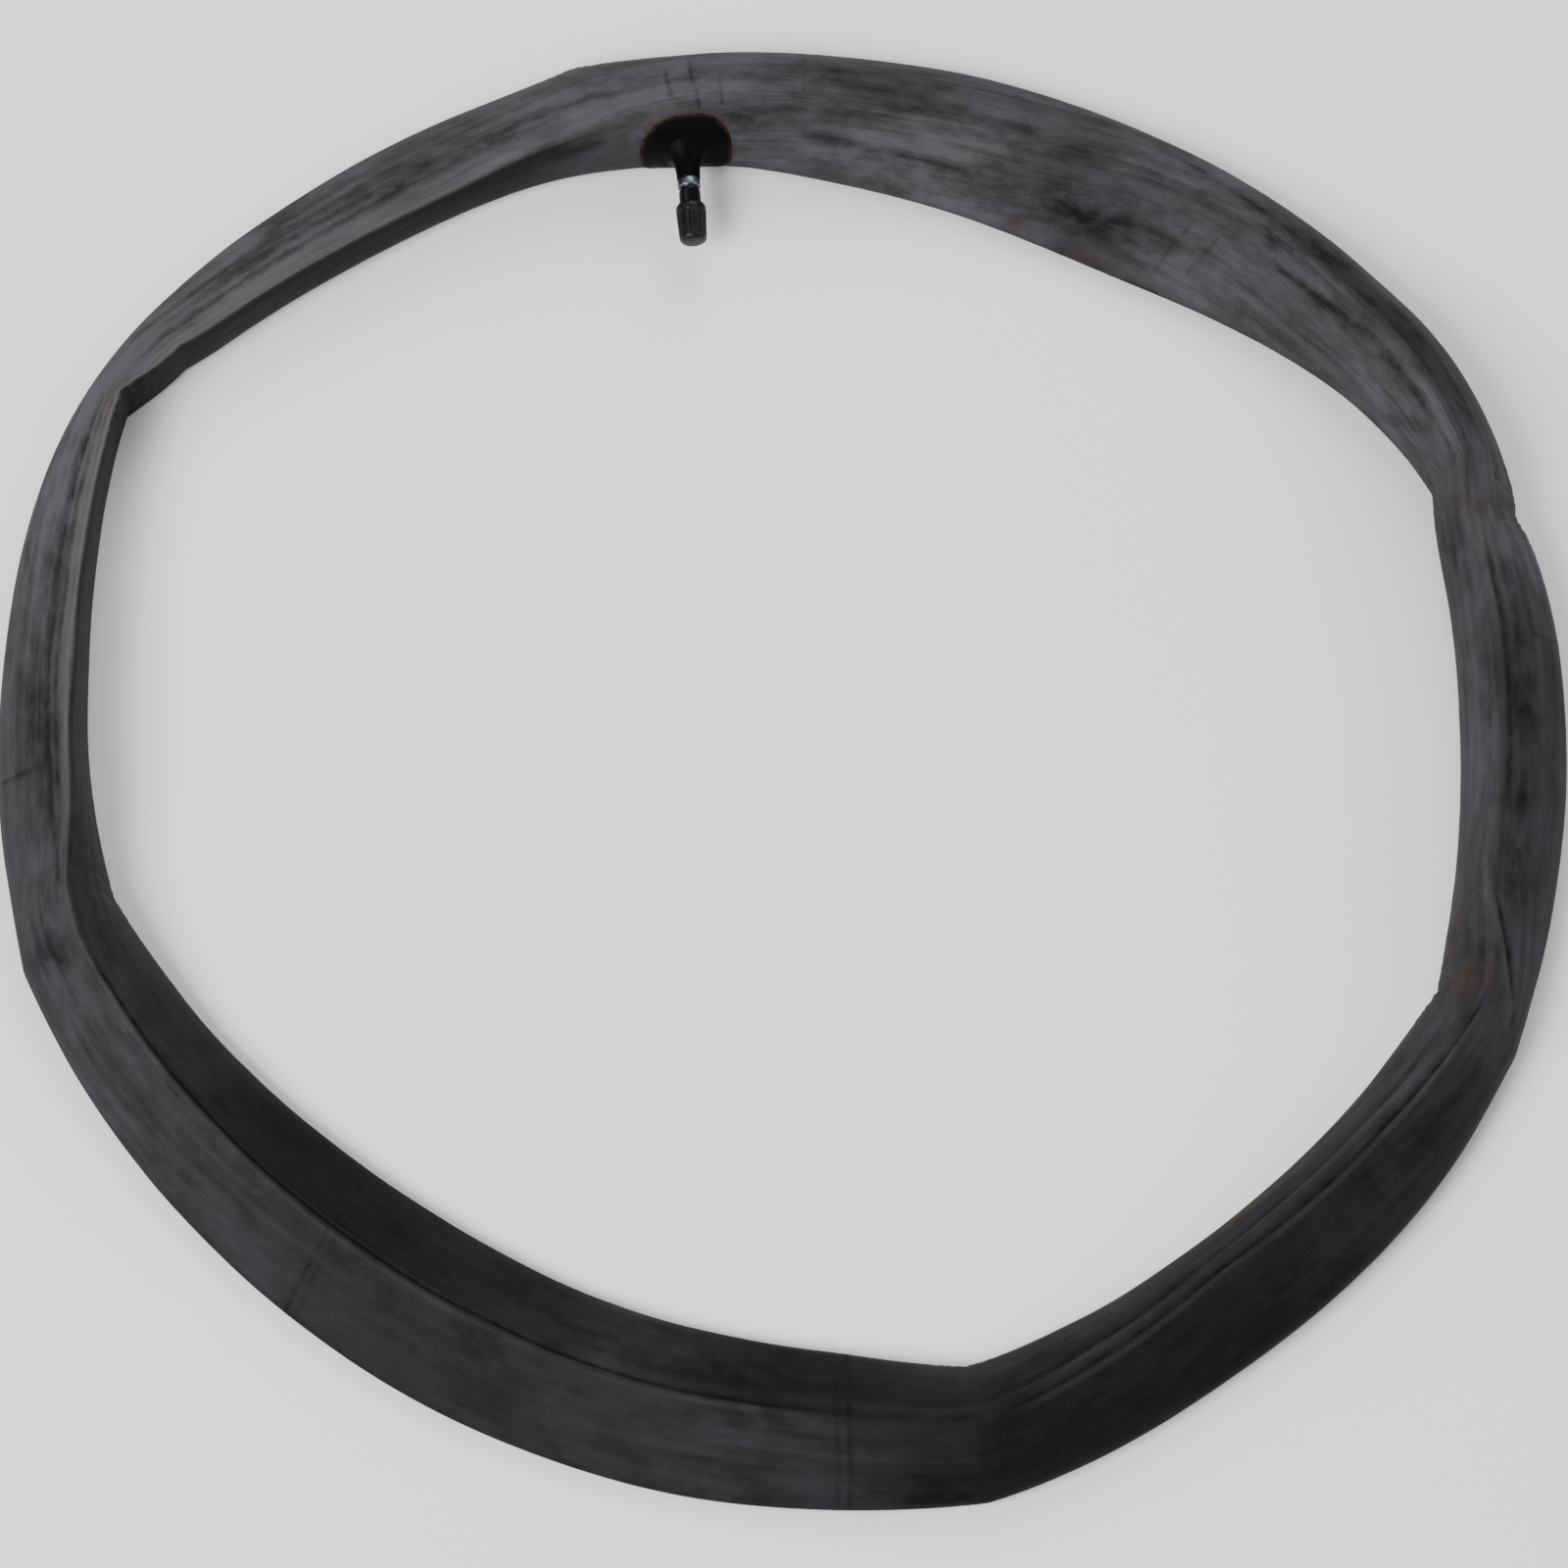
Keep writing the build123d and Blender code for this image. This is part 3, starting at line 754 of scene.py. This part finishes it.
marks = np.stack([bloom_and_light, stained, scuffs_and_painted_shade, painted_highlight], -1)
mark_layer = tube.data.attributes.new("skin_marks", "FLOAT_COLOR", "POINT")
mark_layer.data.foreach_set("color", np.clip(marks, 0, 1).astype(np.float32).ravel())
dress(tube, "tube_rubber", "tube", "tube_body")

# ---------------------------------------------------------------- valve base


def on_skin(azimuth_wanted, girth_wanted, lift):
    """Point on the tube's skin, raised along its normal, from azimuth and girth in mm."""
    spot = azimuth_wanted / 360 * AROUND
    first = int(math.floor(spot))
    part = spot - first
    total = np.zeros(3)
    for row, weight in ((first % AROUND, 1 - part), ((first + 1) % AROUND, part)):
        distance = -across[row]
        point = [np.interp(-girth_wanted, distance, skin[row, :, k]) for k in range(3)]
        normal = [np.interp(-girth_wanted, distance, skin_normal[row, :, k]) for k in range(3)]
        total += weight * (np.array(point) + lift * MM * np.array(normal))
    return total


def valve_patch():
    """The moulded base, a thin pad that follows the tube's skin and ends in a feather edge."""
    rings, spokes = 26, 112
    points, fringe = [], []
    for under in (False, True):
        for ring in range(rings):
            share_out = (ring + 1) / rings
            for spoke in range(spokes):
                angle = TURN * spoke / spokes
                scale = 1 / patch_share(math.cos(angle), math.sin(angle))
                off, aside = share_out * scale * math.cos(angle), share_out * scale * math.sin(angle)
                swell = 1 - float(smooth(0.25, 0.90, share_out))
                lift = PATCH_THIN + (PATCH_THICK - PATCH_THIN) * swell
                lift *= 1 - float(smooth(0.93, 1.0, share_out))
                here = valve_azimuth - math.degrees(off / BASE_R)
                points.append(on_skin(here, VALVE_GIRTH + aside, SUNK if under else lift))
                fringe.append(float(smooth(0.90, 1.0, share_out)))
    for lift in (PATCH_THICK, SUNK):
        points.append(on_skin(valve_azimuth, VALVE_GIRTH, lift))
        fringe.append(0.0)
    faces = []
    top_centre, under_centre, second = len(points) - 2, len(points) - 1, rings * spokes
    for spoke in range(spokes):
        after = (spoke + 1) % spokes
        faces.append((top_centre, spoke, after))
        faces.append((under_centre, second + after, second + spoke))
        for ring in range(rings - 1):
            a, b = ring * spokes, (ring + 1) * spokes
            quad = (a + spoke, b + spoke, b + after, a + after)
            faces.append(quad)
            faces.append(tuple(second + quad[k] for k in (0, 3, 2, 1)))
        last = (rings - 1) * spokes
        faces.append((last + spoke, second + last + spoke, second + last + after, last + after))
    piece = new_mesh("valve_patch", points, faces)
    layer = piece.data.attributes.new("fringe", "FLOAT", "POINT")
    layer.data.foreach_set("value", fringe)
    return piece


def turned(name, profile, segments, closed, shape=None):
    """A lathe piece on the valve's axis. The profile is (distance, radius) points in mm,
    outwards along the outer side; shape changes the radius with distance and angle."""
    distance, radius_mm = (np.array(column, float) for column in zip(*profile))
    angles = np.arange(segments) * TURN / segments
    rows, points = [], []
    for k, (d, r) in enumerate(zip(distance, radius_mm)):
        if r == 0:
            rows.append([len(points)] * segments)
            points.append((AXIS_X, ROOT_Y - d * MM, AXIS_Z))
            continue
        radii = np.full(segments, r) if shape is None else shape(k, d, r, angles)
        rows.append(list(range(len(points), len(points) + segments)))
        for angle, value in zip(angles, radii):
            across_x, across_z = value * MM * math.cos(angle), value * MM * math.sin(angle)
            points.append((AXIS_X + across_x, ROOT_Y - d * MM, AXIS_Z + across_z))
    faces = []
    pairs = list(zip(range(len(rows) - 1), range(1, len(rows))))
    if closed:
        pairs.append((len(rows) - 1, 0))
    for a, b in pairs:
        for s in range(segments):
            t = (s + 1) % segments
            corners = [rows[a][s], rows[a][t], rows[b][t], rows[b][s]]
            face = [v for n, v in enumerate(corners) if v != corners[n - 1]]
            if len(set(face)) > 2:
                faces.append(face)
    return new_mesh(name, points, faces)


PITCH = 25.4 / 32                # 8V1 thread, millimetres


def thread_depth(distance, angle, start, end):
    """Depth of a right-handed thread below its crest, from 0 to 1."""
    phase = (distance / PITCH - angle / TURN) % 1.0
    flank = np.clip(1.5 * np.abs(2 * phase - 1) - 0.25, 0, 1)
    shown = smooth(start, start + PITCH, distance) * (1 - smooth(end - PITCH, end, distance))
    return flank * shown


def stepped(points, step):
    """The profile with extra points, so that no run is longer than a step."""
    made = []
    for (d0, r0), (d1, r1) in zip(points[:-1], points[1:]):
        count = max(1, math.ceil(math.hypot(d1 - d0, r1 - r0) / step))
        made += [(d0 + (d1 - d0) * k / count, r0 + (r1 - r0) * k / count) for k in range(count)]
    return made + [points[-1]]


COVER_R, COVER_END = 4.25, 9.2
COVER_SIDES = 72
FLARE_ROWS = 14
FLARE_FOOT = 9.4                 # millimetres from the valve's axis to the flare's edge
FLARE_BURIED = 7.0               # the same, to the ring that is buried in the base
FLARE_TOP, FLARE_TOP_R = 5.0, 4.42
COVER_BORE = 3.15
THREAD_START, THREAD_CREST, THREAD_ROOT = 13.6, 3.87, 3.36


def on_base(angle, spread, lift):
    """Point of the valve's base, at an angle round the valve and a distance from its middle."""
    here = valve_azimuth - math.degrees(spread * math.cos(angle) / BASE_R)
    return on_skin(here, VALVE_GIRTH + spread * math.sin(angle), lift)


def on_stem(angle, distance, radius_mm):
    """Point round the valve's axis, at a distance along it from the root."""
    side_x, side_z = radius_mm * MM * math.cos(angle), radius_mm * MM * math.sin(angle)
    return np.array([AXIS_X + side_x, ROOT_Y - distance * MM, AXIS_Z + side_z])


def flare_point(angle, along):
    """Point of the flare, from its foot on the valve's base (0) to the stem's cover (1)."""
    guides = [
        on_base(angle, FLARE_FOOT, 0.80), on_base(angle, 5.8, 1.75), on_stem(angle, 2.2, 4.55),
        on_stem(angle, FLARE_TOP, FLARE_TOP_R),
    ]
    back = 1 - along
    weights = [back**3, 3 * back**2 * along, 3 * back * along**2, along**3]
    return sum(weight * guide for weight, guide in zip(weights, guides))


def valve_cover():
    """Rubber cover of the stem with its flared foot, which runs out into the base."""
    root = [(-3.0, COVER_BORE), (-3.0, 4.0)]
    flare = [(FLARE_TOP * k / FLARE_ROWS, FLARE_TOP_R) for k in range(FLARE_ROWS + 1)]
    side_wall = [(6.4, 4.29), (8.5, COVER_R), (8.86, 4.21), (9.08, 4.10)]
    end = [(COVER_END, 3.86), (COVER_END, COVER_BORE)]
    piece = turned("valve_cover", root + flare + side_wall + end, COVER_SIDES, True)
    for side in range(COVER_SIDES):
        angle = TURN * side / COVER_SIDES
        piece.data.vertices[COVER_SIDES + side].co = on_base(angle, FLARE_BURIED, SUNK)
        for row in range(FLARE_ROWS + 1):
            vertex = piece.data.vertices[(row + 2) * COVER_SIDES + side]
            vertex.co = flare_point(angle, row / FLARE_ROWS)
    return piece


def valve_metal():
    """Plated stem: shank, smooth band, neck, thread and bore, painted near black beyond the band as
    shade of the thread grooves.
    """
    shank = [(-3.4, 1.5), (-3.4, 4.6), (-2.4, 4.6), (-1.8, 3.1), (9.2, 3.1)]
    band = [(9.2, 3.98), (9.32, 4.1), (11.9, 4.1), (12.15, 4.02)]
    neck = [(12.35, 3.75), (12.6, 3.42), (13.4, 3.40)]
    threaded = stepped([(THREAD_START, 3.60), (13.9, THREAD_CREST), (30.9, THREAD_CREST)], PITCH / 10)
    tip = [(31.1, 3.72), (31.35, 3.45), (31.55, 3.2), (STEM_TIP, 3.1), (STEM_TIP, 2.85), (31.45, 2.75)]
    bore = [(24.6, 2.75), (22.4, 2.1), (12.8, 2.1), (11.8, 1.5)]
    profile = shank + band + neck + threaded + tip + bore
    first = len(shank + band + neck)
    last = first + len(threaded + tip) - 3

    def cut(index, d, r, angles):
        if not first <= index < last:
            return np.full(len(angles), r)
        depth = thread_depth(d, angles, THREAD_START, STEM_TIP + 0.6)
        # The thread gets shallower where the tip tapers.
        return r - (THREAD_CREST - THREAD_ROOT) * depth * min(1, (r - 2.9) / 0.9)

    piece = turned("valve_metal", profile, 64, True, cut)
    distances = np.array([(ROOT_Y - v.co.y) / MM for v in piece.data.vertices])
    layer = piece.data.attributes.new("painted_thread_shade", "FLOAT", "POINT")
    # Painted shade: near black from the neck on, for the shaded thread grooves.
    layer.data.foreach_set("value", (0.96 * smooth(12.1, 12.5, distances)).astype(np.float32))
    return piece


CAP_MOUTH, CAP_TOP = 18.8, 34.0
CAP_BORE, CAP_THREAD = 3.95, 0.28
CAP_FLUTES = 14
FLUTE_DEPTH, FLUTE_HALF = 0.42, 0.27   # millimetres, and half width as a share of the spacing


def dust_cap():
    """Moulded cap: threaded bore, grip flutes and a domed end."""
    ceiling = [(32.9, 0), (32.9, 3.6), (32.75, CAP_BORE)]
    bore = stepped([(32.5, CAP_BORE), (19.3, CAP_BORE)], PITCH / 8)
    mouth = [(19.0, 4.0), (18.84, 4.12), (CAP_MOUTH, 4.25), (18.84, 4.42), (19.0, 4.62)]
    body = stepped([(19.3, 4.86), (20.0, 5.30), (20.4, 5.43), (21.5, 5.45), (32.0, 4.92)], 0.35)
    shoulder = [(32.5, 4.80), (32.95, 4.58), (33.3, 4.25), (33.6, 3.75)]
    dome = [(33.82, 3.1), (33.95, 2.1), (CAP_TOP, 1.0), (CAP_TOP, 0)]
    profile = ceiling + bore + mouth + body + shoulder + dome
    bore_rows = range(len(ceiling), len(ceiling + bore))
    grip_rows = range(len(ceiling + bore + mouth), len(profile))

    def form(index, d, r, angles):
        if index in bore_rows:
            return r + CAP_THREAD * thread_depth(d, angles, CAP_MOUTH, 32.6)
        if index in grip_rows:
            from_flute = (angles * CAP_FLUTES / TURN + 0.5) % 1.0 - 0.5
            shown = smooth(21.9, 22.9, d) * (1 - smooth(31.2, 32.8, d))
            return r - FLUTE_DEPTH * shown * np.clip(1 - (from_flute / FLUTE_HALF) ** 2, 0, 1)
        return np.full(len(angles), r)

    return turned("dust_cap", profile, CAP_FLUTES * 10, False, form)


dress(valve_patch(), "valve_rubber", "tube", "valve_base")
dress(valve_cover(), "valve_rubber", "tube", "valve_base")
dress(valve_metal(), "plated_brass", "tube", "valve_stem")
dress(dust_cap(), "cap_plastic", "cap", "cap_shell")

# ---------------------------------------------------------------- CAD pieces of the core
CARRIED = {
    "core_plug": "brass",
    "core_barrel": "brass",
    "core_gasket": "gasket",
    "core_spring": "spring_steel",
    "core_pin": "brass",
    "seat_cup": "brass",
    "seat_washer": "seal_rubber",
    "cap_seal": "seal_rubber",
}
for node, slot in CARRIED.items():
    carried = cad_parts[node]
    carried.data.materials.clear()
    carried.data.materials.append(FINISHES[slot])

# ---------------------------------------------------------------- floor, light and camera
FLOOR_SIZE = 6.0


def floor():
    """Pale floor, just under the tube."""
    half = FLOOR_SIZE / 2
    corners = [(-half, -half, 0), (half, -half, 0), (half, half, 0), (-half, half, 0)]
    piece = new_mesh("floor", corners, [(0, 1, 2, 3)], smooth_shading=False)
    piece.data.materials.append(floor_finish())
    piece.location.z = -0.0002
    return piece


def softbox(name, place, size, power):
    """Square soft light that looks at the middle of the loop."""
    light = bpy.data.lights.new(name, "AREA")
    light.shape = "SQUARE"
    light.size = size
    light.energy = power
    lamp = bpy.data.objects.new(name, light)
    lamp.location = place
    lamp.rotation_euler = (-Vector(place)).to_track_quat("-Z", "Y").to_euler()
    bpy.context.scene.collection.objects.link(lamp)


floor()
softbox("key_light", (-1.3, -0.9, 1.7), 1.2, 75)
softbox("back_light", (0.5, 1.7, 1.3), 1.4, 26)
softbox("right_light", (1.9, -0.3, 1.3), 1.2, 14)

world = bpy.data.worlds.new("soft_room")
world.use_nodes = True
world.node_tree.nodes["Background"].inputs["Color"].default_value = (0.95, 0.97, 1.0, 1)
world.node_tree.nodes["Background"].inputs["Strength"].default_value = 0.45
bpy.context.scene.world = world

CAMERA_AZIMUTH, CAMERA_ELEVATION = math.radians(-4.4), math.radians(70)
CAMERA_DISTANCE = 1.9
CAMERA_TARGET = Vector((-0.001, -0.014, 0.012))
toward_camera = Vector(
    (
        math.sin(CAMERA_AZIMUTH) * math.cos(CAMERA_ELEVATION),
        -math.cos(CAMERA_AZIMUTH) * math.cos(CAMERA_ELEVATION),
        math.sin(CAMERA_ELEVATION),
    )
)
camera_data = bpy.data.cameras.new("camera")
camera_data.lens = 126.54
camera_data.sensor_width = 36
camera = bpy.data.objects.new("camera", camera_data)
camera.location = CAMERA_TARGET + CAMERA_DISTANCE * toward_camera
camera.rotation_euler = (-toward_camera).to_track_quat("-Z", "Y").to_euler()
bpy.context.scene.collection.objects.link(camera)
bpy.context.scene.camera = camera
